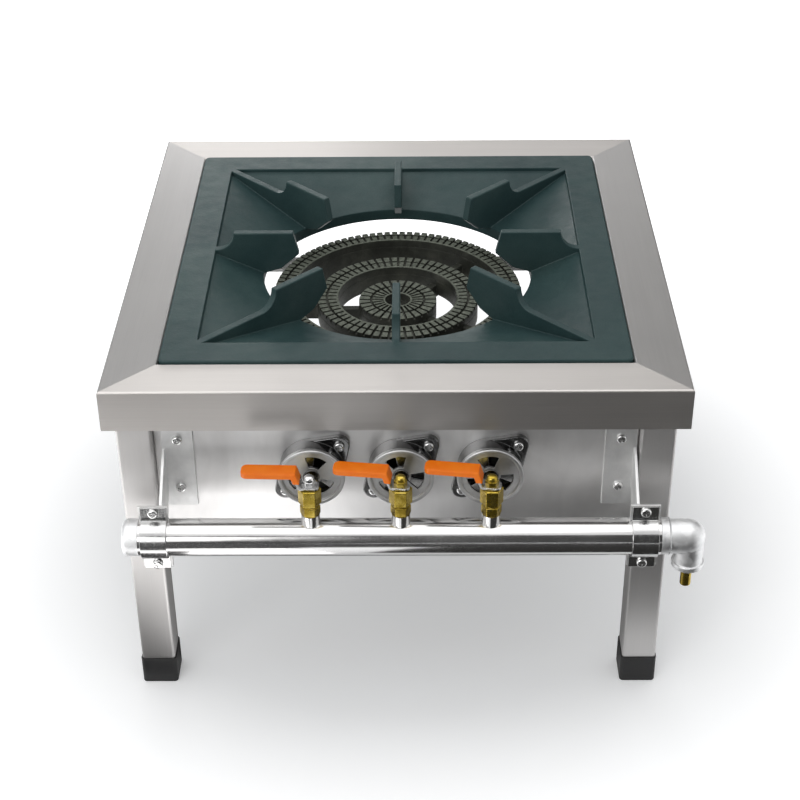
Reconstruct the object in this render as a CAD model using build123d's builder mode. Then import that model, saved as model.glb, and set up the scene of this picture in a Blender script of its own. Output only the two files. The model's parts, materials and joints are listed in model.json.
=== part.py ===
"""Single burner gas stove: a stainless stand with a cast-iron pot grate, a three-ring burner
and a front gas pipe with three lever valves.

Millimetres. X runs to the right, Y to the back and Z up. The origin is on the floor under the
middle of the frame.
"""

import os
from math import cos, radians, sin, sqrt

from build123d import *

os.makedirs("parts", exist_ok=True)

# Clearances shared by the pieces
snug = 0.05  # radial play of a pin in its hole
seat_gap = 0.1  # round a piece that is pushed into or over another
running_gap = 0.4  # between a turning piece and the fixed one beside it

# Pot grate
grate_width = 400.0
grate_depth = 400.0
grate_corner = 5.0
border_width = 30.0
border_thickness = 10.0
border_round = 1.5
recess_step = 4.0
dish_drop = 20.5
dish_wall = 6.0
lip_height = 11.0
lip_wall = 7.0
fire_hole_radius = 126.0
fin_thickness = 7.0
fin_round = 1.2
fin_count = 8
tab_rise = 17.0
tab_outer_radius = 152.5
tab_inner_radius = 97.0
tab_tip_radius = 92.0
tab_tip_drop = 22.0
tab_heel_radius = 109.0
tab_heel_drop = 37.0

# Frame rails of folded sheet
sheet = 1.2
frame_top = 323.0
rail_width = 44.4
skirt_height = 38.0
ledge_width = 12.0
fold_radius = 2.0
grate_gap = 0.6
grate_proud = 2.3

# Legs and feet
leg_size = 30.0
leg_wall = 1.5
leg_corner = 2.5
leg_side_inset = 10.0
leg_end_inset = 7.0
foot_height = 28.0
foot_floor = 3.0
foot_wall = 1.0
foot_round = 0.8

# Front panel and what is bolted to it
front_shift = 4.0  # the air inlets and the valves stand this far right of the middle
panel_setback = 8.5
panel_bottom = 160.0
panel_return = 14.0
panel_fold = 1.6
screw_radius = 2.45
screw_head_radius = 4.5
screw_head_height = 3.0
screw_head_round = 2.0
screw_slot = 1.0
screw_slot_length = 5.0
screw_slot_depth = 1.5
screw_grip = 7.0

# Burner
burner_drop = 42.0
middle_step = 7.5
centre_step = 4.0
outer_ring_outer = 117.0
outer_ring_inner = 99.0
outer_ring_depth = 31.0
middle_ring_outer = 76.5
middle_ring_inner = 56.5
middle_ring_depth = 25.2
centre_ring_outer = 37.0
centre_ring_inner = 11.8
centre_ring_depth = 21.2
port_ring_height = 8.0
port_round = 0.8
port_spigot = 3.0
channel_wall = 3.5
channel_round = 4.0
slot_width = 2.2
slot_depth = 3.0
slot_rim = 2.0
outer_slots = 96
middle_slots = 60
centre_slots = 28
web_width = 7.0
web_drop = 9.0
web_angles = (180, 52, -34)
tube_radius = 12.5
tube_wall = 3.5
tube_sink = 3.0  # the mixing tubes reach this far into the channel floors
tube_flange = 6.0
strap_thickness = 3.0
strap_width = 25.0
strap_spacing = 216.0

# Air inlets
inlet_spacing = 75.5
housing_flange = 5.0
housing_round = 1.2
housing_length = 15.5
housing_radius = 27.5
housing_wall = 2.5
ear_reach = 32.7
ear_radius = 9.0
ear_angle = 44
hub_radius = 6.8
shutter_radius = 28.3
shutter_sheet = 1.2
shutter_rim = 4.0
shutter_rim_wall = 3.6
shutter_round = 1.2
hub_proud = 0.8
window_inner = 8.6
window_outer = 19.8
window_span = 56
housing_turns = (38, -42, 22)  # clockwise from the top, as seen from the front
shutter_turns = (14, -14, -7)

# Gas pipe
pipe_radius = 16.0
pipe_wall = 2.5
pipe_shift = 2.5  # the pipe and its brackets stand this far right of the middle
pipe_overhang = 14.2  # past the edge of the panel, at each end
pipe_reach = 45.5
valve_rise = 41.9
socket_radius = 7.8
socket_height = 9.1
cap_length = 13.8
plug_depth = 12.0
elbow_collar_length = 7.5
elbow_collar_radius = 15.7
elbow_radius = 15.0
elbow_reach = 25.6
elbow_leg_radius = 12.4
elbow_bead_radius = 13.8
elbow_bead_height = 5.0
elbow_fall = 30.0
elbow_shoulder = 0.4
elbow_bore = 6.0
nipple_radius = 4.7
nipple_bore = 3.0
nipple_length = 21.6
nipple_chamfer = 0.8
nipple_shank = 7.5
nipple_shank_length = 16.0

# Pipe brackets and clamps
bracket_sheet = 2.5
bracket_flange_width = 27.0
bracket_foot = 2.0
bracket_height = 82.0
bracket_screws = (21.3, 70.1)
bracket_arm_top = 62.4
bracket_arm_bottom = 22.7
bracket_web_inset = 3.5  # from the clamp's inner edge to the web
bracket_plate_edge = 1.5
clamp_outset = 0.7  # from the edge of the panel to the middle of the clamp
clamp_width = 22.0
clamp_sheet = 2.0
clamp_ear = 15.5
clamp_screw_rise = 26.6

# Valves
valve_flats = 17.0
valve_foot_flats = 15.0
valve_foot_height = 9.0
valve_waist_radius = 6.6
valve_waist_height = 1.6
valve_head = 9.6
valve_chamfer = 0.8
valve_spigot_radius = 5.5
valve_spigot_length = 8.0
gas_bore = 3.5
outlet_radius = 6.8
outlet_length = 17.0
ball_radius = 6.4
ball_flat = 5.2
stem_radius = 3.0
stem_proud = 2.5
injector_flats = 12.0
injector_hex = 5.0
injector_radius = 4.9
injector_bore = 1.2
injector_tip = 3.0

# Levers
lever_leans = (2, 7, 8)  # towards the back from straight left, at rest
lever_sheet = 2.0
lever_width = 12.0
lever_pad = 8.0
lever_step = 14.6
lever_bend = 12.5
lever_length = 54.0
lever_fold = 2.5
lever_pad_round = 4.0
grip_width = 14.5
grip_height = 5.2
grip_wall_end = 2.0
grip_foot = 7.0  # height over the valve where the turned-down end stops
grip_round = 1.0
grip_tip_round = 5.0
nut_flats = 10.0
nut_height = 5.0

# Places worked out from the sizes above
opening_half_x = grate_width / 2 + grate_gap
opening_half_y = grate_depth / 2 + grate_gap
frame_half_x = opening_half_x + rail_width
frame_half_y = opening_half_y + rail_width
skirt_bottom = frame_top - skirt_height
under_flange = frame_top - sheet
grate_top = frame_top + grate_proud
ledge_top = grate_top - border_thickness
leg_x = frame_half_x - leg_side_inset - leg_size / 2
leg_y = frame_half_y - leg_end_inset - leg_size / 2
panel_front = -(frame_half_y - leg_end_inset - panel_setback)
panel_rear = panel_front + sheet
panel_half = leg_x - leg_size / 2

outer_top = frame_top - burner_drop
middle_top = outer_top - middle_step
centre_top = middle_top - centre_step
outer_bottom = outer_top - outer_ring_depth
middle_bottom = middle_top - middle_ring_depth
centre_bottom = centre_top - centre_ring_depth
inlet_z = min(middle_bottom, centre_bottom) + tube_sink - tube_radius
inlets = [front_shift + k * inlet_spacing for k in (-1, 0, 1)]
sides = ("left", "middle", "right")

pipe_y = panel_front - pipe_reach
pipe_z = inlet_z - valve_rise
pipe_top = pipe_z + pipe_radius
pipe_half_length = panel_half + pipe_overhang
pipe_left = pipe_shift - pipe_half_length
pipe_right = pipe_shift + pipe_half_length
socket_top = pipe_top + socket_height
elbow_x = pipe_right + elbow_reach
elbow_bottom = pipe_z - elbow_fall
clearance_hole = screw_radius + snug
clamp_reach = panel_half + clamp_outset
bracket_web = clamp_reach - clamp_width / 2 + bracket_web_inset
bracket_flange_x = bracket_web + bracket_sheet - bracket_flange_width / 2
ear_dx = ear_reach * cos(radians(ear_angle))
ear_dz = ear_reach * sin(radians(ear_angle))
shutter_seat = housing_length + running_gap
hub_front = shutter_seat + shutter_sheet + hub_proud
valve_top = inlet_z + valve_head
lever_base = valve_top + running_gap
lever_top = lever_base + lever_sheet


def save(piece, name):
    """Label a finished piece and write it under its own name."""
    piece.part.label = name
    export_step(piece.part, f"parts/{name}.step")
    return piece.part


def facing(x, y, z):
    """A plane that looks out of the front: its x is to the right and its y is up."""
    return Plane(origin=(x, y, z), x_dir=(1, 0, 0), z_dir=(0, -1, 0))


def standing(angle):
    """A vertical plane through the middle: its x runs outwards at the angle and its y is up."""
    a = radians(angle)
    return Plane(origin=(0, 0, 0), x_dir=(cos(a), sin(a), 0), z_dir=(sin(a), -cos(a), 0))


# Rails: one folded section for each side, cut at the corners on the mitre
def rail(name, angle, half, half_length):
    inner = half - rail_width
    section = [
        (half, skirt_bottom),
        (half, frame_top),
        (inner, frame_top),
        (inner, ledge_top),
        (inner - ledge_width, ledge_top),
        (inner - ledge_width, ledge_top - sheet),
        (inner + sheet, ledge_top - sheet),
        (inner + sheet, under_flange),
        (half - sheet, under_flange),
        (half - sheet, skirt_bottom),
    ]
    a = radians(angle)
    outward = Vector(cos(a), sin(a), 0)
    along = Vector(-sin(a), cos(a), 0)
    with BuildPart() as piece:
        with BuildSketch(standing(angle)) as profile:
            with BuildLine():
                Polyline(*section, close=True)
            make_face()
            top_corners = profile.vertices().group_by(Axis.Y)[-1]
            fillet(top_corners, fold_radius)
        extrude(amount=half_length, both=True)
        for way in (-1, 1):
            corner = outward * half + along * (way * half_length)
            mitre = Plane(origin=corner, z_dir=along * way - outward)
            split(bisect_by=mitre, keep=Keep.BOTTOM)
    save(piece, name)


rail("front_rail", -90, frame_half_y, frame_half_x)
rail("rear_rail", 90, frame_half_y, frame_half_x)
rail("left_rail", 180, frame_half_x, frame_half_y)
rail("right_rail", 0, frame_half_x, frame_half_y)


# Legs of square tube, each standing in a rubber cap
for end, way_y in (("front", -1), ("rear", 1)):
    for side, way_x in (("left", -1), ("right", 1)):
        x, y = way_x * leg_x, way_y * leg_y
        with BuildPart() as leg:
            with BuildSketch(Plane((x, y, foot_floor))):
                RectangleRounded(leg_size, leg_size, leg_corner)
                Rectangle(leg_size - 2 * leg_wall, leg_size - 2 * leg_wall, mode=Mode.SUBTRACT)
            extrude(amount=under_flange - foot_floor)
        save(leg, f"{end}_{side}_leg")

        pocket = leg_size + 2 * seat_gap
        outside = pocket + 2 * foot_wall
        with BuildPart() as foot:
            with BuildSketch(Plane((x, y, 0))):
                RectangleRounded(outside, outside, leg_corner + foot_wall)
            extrude(amount=foot_height)
            fillet(foot.faces().sort_by(Axis.Z)[0].edges(), foot_round)
            with BuildSketch(Plane((x, y, foot_floor))):
                RectangleRounded(pocket, pocket, leg_corner)
            extrude(amount=foot_height - foot_floor, mode=Mode.SUBTRACT)
        save(foot, f"{end}_{side}_foot")


# Front panel: a sheet with its sides and bottom folded back, holed for the inlets and screws
with BuildPart() as panel:
    with BuildSketch(facing(0, panel_front, panel_bottom)):
        Rectangle(2 * panel_half, under_flange - panel_bottom, align=(Align.CENTER, Align.MIN))
    extrude(amount=-panel_return)
    front_edges = panel.faces().sort_by(Axis.Y)[0].edges()
    fillet(front_edges.sort_by(Axis.Z)[:-1], panel_fold)
    with BuildSketch(facing(0, panel_rear, panel_bottom + sheet)):
        Rectangle(
            2 * (panel_half - sheet),
            under_flange - panel_bottom - sheet,
            align=(Align.CENTER, Align.MIN),
        )
    extrude(amount=-panel_return, mode=Mode.SUBTRACT)
    with BuildSketch(facing(0, panel_front, 0)):
        for x in inlets:
            with Locations((x, inlet_z)):
                Circle(tube_radius)
            with Locations((x + ear_dx, inlet_z + ear_dz), (x - ear_dx, inlet_z - ear_dz)):
                Circle(clearance_hole)
        for way in (-1, 1):
            for rise in bracket_screws:
                with Locations((pipe_shift + way * bracket_flange_x, pipe_z + rise)):
                    Circle(clearance_hole)
    extrude(amount=-sheet, mode=Mode.SUBTRACT)
save(panel, "front_panel")


# Pot grate: a bordered square casting, dished to the fire hole, with fins that end in pot tabs
recess_x = grate_width / 2 - border_width
recess_y = grate_depth / 2 - border_width
dish_top = grate_top - recess_step
rim_z = dish_top - dish_drop
lip_bottom = rim_z - lip_height
tab_top = grate_top + tab_rise


def fin(start):
    """A fin along X from the recess edge to its tab, with its upper edges rounded."""
    root_x = start + dish_wall / 2
    foot_z = rim_z - dish_wall / 3
    turn_x = tab_outer_radius + tab_rise
    with BuildPart() as piece:
        with BuildSketch(Plane.XZ):
            with BuildLine():
                root = Line((root_x, dish_top - dish_wall / 2), (root_x, grate_top))
                Line(root @ 1, (turn_x, grate_top))
                sweep_up = CenterArc((turn_x, tab_top), tab_rise, 180, 90)
                top = Line(sweep_up @ 0, (tab_inner_radius, tab_top))
                tip = Line(top @ 1, (tab_tip_radius, tab_top - tab_tip_drop))
                under = Line(tip @ 1, (tab_heel_radius, tab_top - tab_heel_drop))
                heel = Line(under @ 1, (fire_hole_radius + lip_wall / 2, foot_z))
                Line(heel @ 1, root @ 0)
            make_face()
        extrude(amount=fin_thickness / 2, both=True)
        tab_edges = piece.faces().sort_by(Axis.Z)[-1].edges().filter_by(Axis.X)
        fillet(tab_edges, fin_round)
    return piece.part


with BuildPart() as grate:
    with BuildSketch(Plane.XY.offset(ledge_top)):
        RectangleRounded(grate_width, grate_depth, grate_corner)
    extrude(amount=border_thickness)
    fillet(grate.faces().sort_by(Axis.Z)[-1].edges(), border_round)
    # underside of the dish
    with BuildSketch(Plane.XY.offset(ledge_top)):
        Rectangle(2 * (recess_x + dish_wall), 2 * (recess_y + dish_wall))
    with BuildSketch(Plane.XY.offset(rim_z - dish_wall)):
        Circle(fire_hole_radius + lip_wall)
    loft(ruled=True)
    with BuildSketch(Plane.XY.offset(lip_bottom)):
        Circle(fire_hole_radius + lip_wall)
    extrude(amount=rim_z - lip_bottom)
    # top of the dish
    with BuildSketch(Plane.XY.offset(dish_top)):
        Rectangle(2 * recess_x, 2 * recess_y)
    extrude(amount=recess_step, mode=Mode.SUBTRACT)
    with BuildSketch(Plane.XY.offset(dish_top)):
        Rectangle(2 * recess_x, 2 * recess_y)
    with BuildSketch(Plane.XY.offset(rim_z)):
        Circle(fire_hole_radius)
    loft(ruled=True, mode=Mode.SUBTRACT)
    with BuildSketch(Plane.XY.offset(lip_bottom)):
        Circle(fire_hole_radius)
    extrude(amount=grate_top - lip_bottom, mode=Mode.SUBTRACT)
    for k in range(fin_count):
        angle = k * 360 / fin_count
        a = radians(angle)
        reach_x = recess_x / abs(cos(a)) if abs(cos(a)) > 1e-6 else 1e9
        reach_y = recess_y / abs(sin(a)) if abs(sin(a)) > 1e-6 else 1e9
        with Locations(Location((0, 0, 0), (0, 0, 1), angle)):
            add(fin(min(reach_x, reach_y)))
save(grate, "pot_grate")


# Burner: three ring channels on webs, with a mixing tube from each to the panel
rings = {
    "outer": (outer_ring_inner, outer_ring_outer, outer_bottom, outer_top),
    "middle": (middle_ring_inner, middle_ring_outer, middle_bottom, middle_top),
    "centre": (centre_ring_inner, centre_ring_outer, centre_bottom, centre_top),
}
ring_of_tube = ("outer", "centre", "middle")


def tube_ends(k):
    """Front and back end of a mixing tube's axis: at the panel and under its ring."""
    inner, outer, bottom, top = rings[ring_of_tube[k]]
    x = inlets[k]
    middle = (inner + outer) / 2
    x_end = x if abs(x) < middle - tube_radius / 2 else (middle - tube_radius / 2) * x / abs(x)
    return Vector(x, panel_rear, inlet_z), Vector(x_end, -sqrt(middle**2 - x_end**2), inlet_z)


def ear_flange(radius):
    """Round flange with two screw ears, in the plane of the sketch."""
    Circle(radius)
    with Locations((ear_dx, ear_dz), (-ear_dx, -ear_dz)):
        Circle(ear_radius)
    make_hull()
    with Locations((ear_dx, ear_dz), (-ear_dx, -ear_dz)):
        Circle(clearance_hole, mode=Mode.SUBTRACT)


with BuildPart() as burner:
    for inner, outer, bottom, top in rings.values():
        with BuildSketch(Plane.XZ) as section:
            with Locations(((inner + outer) / 2, bottom)):
                Rectangle(
                    outer - inner,
                    top - port_ring_height - bottom,
                    align=(Align.CENTER, Align.MIN),
                )
            fillet(section.vertices().group_by(Axis.Y)[0], channel_round)
        revolve(axis=Axis.Z)
    # webs between the rings
    for angle in web_angles:
        a = radians(angle)
        for near, far in (("centre", "middle"), ("middle", "outer")):
            r_from = rings[near][1] - channel_wall
            r_to = rings[far][0] + channel_wall
            low = max(rings[near][2], rings[far][2])
            high = rings[near][3] - web_drop
            at = Plane(
                origin=(r_from * cos(a), r_from * sin(a), low),
                x_dir=(cos(a), sin(a), 0),
                z_dir=(0, 0, 1),
            )
            with BuildSketch(at):
                Rectangle(r_to - r_from, web_width, align=(Align.MIN, Align.CENTER))
            extrude(amount=high - low)
    # mixing tubes, their risers and their flanges on the panel
    for k in range(3):
        front, back = tube_ends(k)
        bottom = rings[ring_of_tube[k]][2]
        with BuildSketch(Plane(origin=front, z_dir=back - front)):
            Circle(tube_radius)
        extrude(amount=(back - front).length)
        with Locations(back):
            Sphere(tube_radius)
        with BuildSketch(Plane(origin=back)):
            Circle(tube_radius - tube_wall / 2)
        extrude(amount=bottom + channel_wall - inlet_z)
        with BuildSketch(facing(inlets[k], panel_rear, inlet_z)):
            ear_flange(tube_radius + tube_wall)
        extrude(amount=-tube_flange)
    # hollow the channels and the tubes
    for inner, outer, bottom, top in rings.values():
        with BuildSketch(Plane.XY.offset(bottom + channel_wall)):
            Circle(outer - channel_wall)
            Circle(inner + channel_wall, mode=Mode.SUBTRACT)
        extrude(amount=top - bottom, mode=Mode.SUBTRACT)
    for k in range(3):
        front, back = tube_ends(k)
        bottom = rings[ring_of_tube[k]][2]
        with BuildSketch(Plane(origin=front, z_dir=back - front)):
            Circle(tube_radius - tube_wall)
        extrude(amount=(back - front).length, mode=Mode.SUBTRACT)
        with BuildSketch(Plane(origin=back)):
            Circle(tube_radius - 2 * tube_wall)
        extrude(amount=bottom + 2 * channel_wall - inlet_z, mode=Mode.SUBTRACT)
    # the front face of each flange lies flat on the panel
    split(bisect_by=Plane(origin=(0, panel_rear, 0), z_dir=(0, 1, 0)), keep=Keep.TOP)
save(burner, "burner_casting")


# Port rings: lids on the channels, their tops cut into two rows of teeth
def port_ring(name, ring, slots):
    inner, outer, bottom, top = rings[ring]
    middle = (inner + slot_rim + outer) / 2
    with BuildPart() as piece:
        with BuildSketch(Plane.XZ) as section:
            with Locations(((inner + outer) / 2, top)):
                Rectangle(outer - inner, port_ring_height, align=(Align.CENTER, Align.MAX))
            fillet(section.vertices().group_by(Axis.Y)[-1], port_round)
        revolve(axis=Axis.Z)
        with BuildSketch(Plane.XY.offset(top - port_ring_height - port_spigot)):
            Circle(outer - channel_wall - seat_gap)
            Circle(inner + channel_wall + seat_gap, mode=Mode.SUBTRACT)
        extrude(amount=port_spigot)
        with BuildSketch(Plane.XY.offset(top - slot_depth)):
            Circle(middle + slot_width / 2)
            Circle(middle - slot_width / 2, mode=Mode.SUBTRACT)
            with PolarLocations(inner + slot_rim, slots):
                Rectangle(outer - inner, slot_width, align=(Align.MIN, Align.CENTER))
        extrude(amount=slot_depth, mode=Mode.SUBTRACT)
    save(piece, name)


port_ring("outer_port_ring", "outer", outer_slots)
port_ring("middle_port_ring", "middle", middle_slots)
port_ring("centre_port_ring", "centre", centre_slots)


# Straps hung from the ledges of the side rails: the front one carries the mixing tubes, the rear
# one the outer ring
strap_half = opening_half_x - ledge_width / 2
strap_tops = {"front": inlet_z - tube_radius - snug, "rear": outer_bottom}
for end, way in (("front", -1), ("rear", 1)):
    strap_top = strap_tops[end]
    with BuildPart() as strap:
        with BuildSketch(facing(0, way * strap_spacing / 2, 0)):
            with BuildLine():
                Polyline(
                    (-strap_half, ledge_top - sheet),
                    (-strap_half, strap_top - strap_thickness),
                    (strap_half, strap_top - strap_thickness),
                    (strap_half, ledge_top - sheet),
                    (strap_half - strap_thickness, ledge_top - sheet),
                    (strap_half - strap_thickness, strap_top),
                    (-strap_half + strap_thickness, strap_top),
                    (-strap_half + strap_thickness, ledge_top - sheet),
                    close=True,
                )
            make_face()
        extrude(amount=strap_width / 2, both=True)
    save(strap, f"{end}_burner_strap")


# Air inlets: a flanged housing with windows in its front wall, and a turning disc with like windows
def windows(turn):
    """Three sector windows, the first centred at the turn, clockwise from the top."""
    with BuildSketch() as openings:
        for k in range(3):
            start = 90 - turn - window_span / 2 + 120 * k
            with BuildLine():
                wide = CenterArc((0, 0), window_outer, start, window_span)
                narrow = CenterArc((0, 0), window_inner, start, window_span)
                Line(wide @ 0, narrow @ 0)
                Line(wide @ 1, narrow @ 1)
            make_face()
    return openings.sketch


for k, side in enumerate(sides):
    x = inlets[k]
    with BuildPart() as housing:
        with BuildSketch(facing(x, panel_front, inlet_z)):
            ear_flange(housing_radius)
        extrude(amount=housing_flange)
        fillet(housing.faces().sort_by(Axis.Y)[0].outer_wire().edges(), housing_round)
        with BuildSketch(facing(x, panel_front, inlet_z)):
            Circle(housing_radius)
        extrude(amount=housing_length)
        with BuildSketch(facing(x, panel_front, inlet_z)):
            Circle(housing_radius - housing_wall)
        extrude(amount=housing_length - housing_wall, mode=Mode.SUBTRACT)
        with BuildSketch(facing(x, panel_front - housing_length + housing_wall, inlet_z)):
            Circle(hub_radius)
        extrude(amount=hub_front - housing_length + housing_wall)
        with BuildSketch(facing(x, panel_front, inlet_z)):
            Circle(injector_radius + snug)
        extrude(amount=hub_front, mode=Mode.SUBTRACT)
        with BuildSketch(facing(x, panel_front - housing_length + housing_wall, inlet_z)):
            add(windows(housing_turns[k]))
        extrude(amount=housing_wall, mode=Mode.SUBTRACT)
    save(housing, f"{side}_air_housing")

    with BuildPart() as shutter:
        with BuildSketch(facing(x, panel_front - shutter_seat, inlet_z)):
            Circle(shutter_radius)
        extrude(amount=shutter_rim)
        with BuildSketch(facing(x, panel_front - shutter_seat - shutter_sheet, inlet_z)):
            Circle(shutter_radius - shutter_rim_wall)
        extrude(amount=shutter_rim, mode=Mode.SUBTRACT)
        fillet(shutter.faces().sort_by(Axis.Y)[0].edges(), shutter_round)
        with BuildSketch(facing(x, panel_front - shutter_seat, inlet_z)):
            Circle(hub_radius + snug)
            add(windows(shutter_turns[k]))
        extrude(amount=shutter_rim, mode=Mode.SUBTRACT)
    save(shutter, f"{side}_air_shutter")


# Gas pipe with a socket under each valve, an end plug, a reducing elbow and a hose nipple
with BuildPart() as pipe:
    with BuildSketch(Plane.YZ.offset(pipe_left)):
        with Locations((pipe_y, pipe_z)):
            Circle(pipe_radius)
    extrude(amount=2 * pipe_half_length)
    with BuildSketch(Plane.XY.offset(pipe_z)):
        with Locations(*[(x, pipe_y) for x in inlets]):
            Circle(socket_radius)
    extrude(amount=socket_top - pipe_z)
    with BuildSketch(Plane.YZ.offset(pipe_left)):
        with Locations((pipe_y, pipe_z)):
            Circle(pipe_radius - pipe_wall)
    extrude(amount=2 * pipe_half_length, mode=Mode.SUBTRACT)
    with BuildSketch(Plane.XY.offset(pipe_z)):
        with Locations(*[(x, pipe_y) for x in inlets]):
            Circle(valve_spigot_radius + snug)
    extrude(amount=socket_top - pipe_z, mode=Mode.SUBTRACT)
save(pipe, "manifold_pipe")

with BuildPart() as cap:
    with BuildSketch(Plane.YZ.offset(pipe_left)):
        with Locations((pipe_y, pipe_z)):
            Circle(pipe_radius)
    extrude(amount=-cap_length)
    fillet(cap.edges().filter_by(GeomType.CIRCLE).sort_by(Axis.X)[0], cap_length / 3)
    with BuildSketch(Plane.YZ.offset(pipe_left)):
        with Locations((pipe_y, pipe_z)):
            Circle(pipe_radius - pipe_wall - seat_gap)
    extrude(amount=plug_depth)
save(cap, "manifold_cap")

shoulder_x = elbow_x + elbow_leg_radius + elbow_shoulder - elbow_radius
with BuildPart() as elbow:
    with BuildSketch(Plane.YZ.offset(pipe_right)):
        with Locations((pipe_y, pipe_z)):
            Circle(elbow_collar_radius)
    extrude(amount=elbow_collar_length)
    with BuildSketch(Plane.YZ.offset(pipe_right)):
        with Locations((pipe_y, pipe_z)):
            Circle(elbow_radius)
    extrude(amount=shoulder_x - pipe_right)
    with Locations((shoulder_x, pipe_y, pipe_z)):
        Sphere(elbow_radius)
    with BuildSketch(Plane.XY.offset(elbow_bottom)):
        with Locations((elbow_x, pipe_y)):
            Circle(elbow_leg_radius)
    extrude(amount=elbow_fall)
    with BuildSketch(Plane.XY.offset(elbow_bottom)):
        with Locations((elbow_x, pipe_y)):
            Circle(elbow_bead_radius)
    extrude(amount=elbow_bead_height)
    with BuildSketch(Plane.YZ.offset(pipe_right)):
        with Locations((pipe_y, pipe_z)):
            Circle(pipe_radius - pipe_wall - seat_gap)
    extrude(amount=-plug_depth)
    # gas way through both arms, wide enough below for the nipple's shank
    with BuildSketch(Plane.YZ.offset(pipe_right - plug_depth)):
        with Locations((pipe_y, pipe_z)):
            Circle(elbow_bore)
    extrude(amount=plug_depth + elbow_reach, mode=Mode.SUBTRACT)
    with BuildSketch(Plane.XY.offset(elbow_bottom)):
        with Locations((elbow_x, pipe_y)):
            Circle(nipple_shank + snug)
    extrude(amount=elbow_fall, mode=Mode.SUBTRACT)
save(elbow, "manifold_elbow")

with BuildPart() as nipple:
    with BuildSketch(Plane.XY.offset(elbow_bottom)):
        with Locations((elbow_x, pipe_y)):
            Circle(nipple_shank)
    extrude(amount=nipple_shank_length)
    with BuildSketch(Plane.XY.offset(elbow_bottom)):
        with Locations((elbow_x, pipe_y)):
            Circle(nipple_radius)
    extrude(amount=-nipple_length)
    chamfer(nipple.edges().sort_by(Axis.Z)[0], nipple_chamfer)
    with BuildSketch(Plane.XY.offset(elbow_bottom - nipple_length)):
        with Locations((elbow_x, pipe_y)):
            Circle(nipple_bore)
    extrude(amount=nipple_length + nipple_shank_length, mode=Mode.SUBTRACT)
save(nipple, "hose_nipple")


# Brackets from the panel to the pipe, and the clamps that hold the pipe to them
ear_top = pipe_z + pipe_radius + snug + clamp_ear
ear_bottom = pipe_z - pipe_radius - snug - clamp_ear
for side, way in (("left", -1), ("right", 1)):
    web_x = pipe_shift + way * bracket_web
    clamp_x = pipe_shift + way * clamp_reach
    web_plane = Plane(origin=(web_x, 0, 0), x_dir=(0, 1, 0), z_dir=(1, 0, 0))
    panel_edge = (Align.MAX if way > 0 else Align.MIN, Align.MIN)
    plate_width = clamp_width + 2 * bracket_plate_edge
    with BuildPart() as bracket:
        with BuildSketch(facing(web_x + way * bracket_sheet, panel_front, pipe_z + bracket_foot)):
            Rectangle(bracket_flange_width, bracket_height, align=panel_edge)
        extrude(amount=bracket_sheet)
        with BuildSketch(web_plane):
            with BuildLine():
                Polyline(
                    (panel_front, pipe_z + bracket_arm_top),
                    (pipe_y + bracket_sheet, ear_top),
                    (pipe_y, ear_top),
                    (pipe_y, ear_bottom),
                    (pipe_y + bracket_sheet, ear_bottom),
                    (panel_front, pipe_z + bracket_arm_bottom),
                    close=True,
                )
            make_face()
        extrude(amount=way * bracket_sheet)
        with BuildSketch(facing(clamp_x, pipe_y + bracket_sheet, ear_bottom)):
            Rectangle(plate_width, ear_top - ear_bottom, align=(Align.CENTER, Align.MIN))
        extrude(amount=bracket_sheet)
        with BuildSketch(Plane.YZ.offset(clamp_x)):
            with Locations((pipe_y, pipe_z)):
                Circle(pipe_radius + snug)
        extrude(amount=plate_width, both=True, mode=Mode.SUBTRACT)
        with BuildSketch(facing(0, pipe_y, pipe_z)):
            with Locations((clamp_x, clamp_screw_rise), (clamp_x, -clamp_screw_rise)):
                Circle(clearance_hole)
        extrude(amount=-bracket_sheet, mode=Mode.SUBTRACT)
        with BuildSketch(facing(pipe_shift + way * bracket_flange_x, panel_front, pipe_z)):
            with Locations(*[(0, rise) for rise in bracket_screws]):
                Circle(clearance_hole)
        extrude(amount=bracket_sheet, mode=Mode.SUBTRACT)
    save(bracket, f"{side}_pipe_bracket")

    with BuildPart() as clamp:
        with BuildSketch(Plane.YZ.offset(clamp_x)):
            with Locations((pipe_y, pipe_z)):
                Circle(pipe_radius + snug + clamp_sheet)
                Rectangle(
                    clamp_sheet,
                    ear_top - ear_bottom,
                    align=(Align.MAX, Align.CENTER),
                )
                Circle(pipe_radius + snug, mode=Mode.SUBTRACT)
                Rectangle(
                    2 * pipe_radius,
                    ear_top - ear_bottom,
                    align=(Align.MIN, Align.CENTER),
                    mode=Mode.SUBTRACT,
                )
        extrude(amount=clamp_width / 2, both=True)
        with BuildSketch(facing(0, pipe_y, pipe_z)):
            with Locations((clamp_x, clamp_screw_rise), (clamp_x, -clamp_screw_rise)):
                Circle(clearance_hole)
        extrude(amount=clamp_sheet, mode=Mode.SUBTRACT)
    save(clamp, f"{side}_pipe_clamp")


# Screws: round heads with a cross slot in front, shanks to the back
def screw(length):
    with BuildPart() as piece:
        with BuildSketch(Plane.XY):
            Circle(screw_head_radius)
        extrude(amount=screw_head_height)
        fillet(piece.edges().sort_by(Axis.Z)[-1], screw_head_round)
        with BuildSketch(Plane.XY):
            Circle(screw_radius)
        extrude(amount=-length)
        with BuildSketch(Plane.XY.offset(screw_head_height - screw_slot_depth)):
            Rectangle(screw_slot_length, screw_slot)
            Rectangle(screw_slot, screw_slot_length)
        extrude(amount=screw_slot_depth, mode=Mode.SUBTRACT)
    return piece.part


def screws(name, places):
    with BuildPart() as group:
        for x, head_y, z, length in places:
            with Locations(facing(x, head_y, z).location):
                add(screw(length))
    save(group, name)


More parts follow.
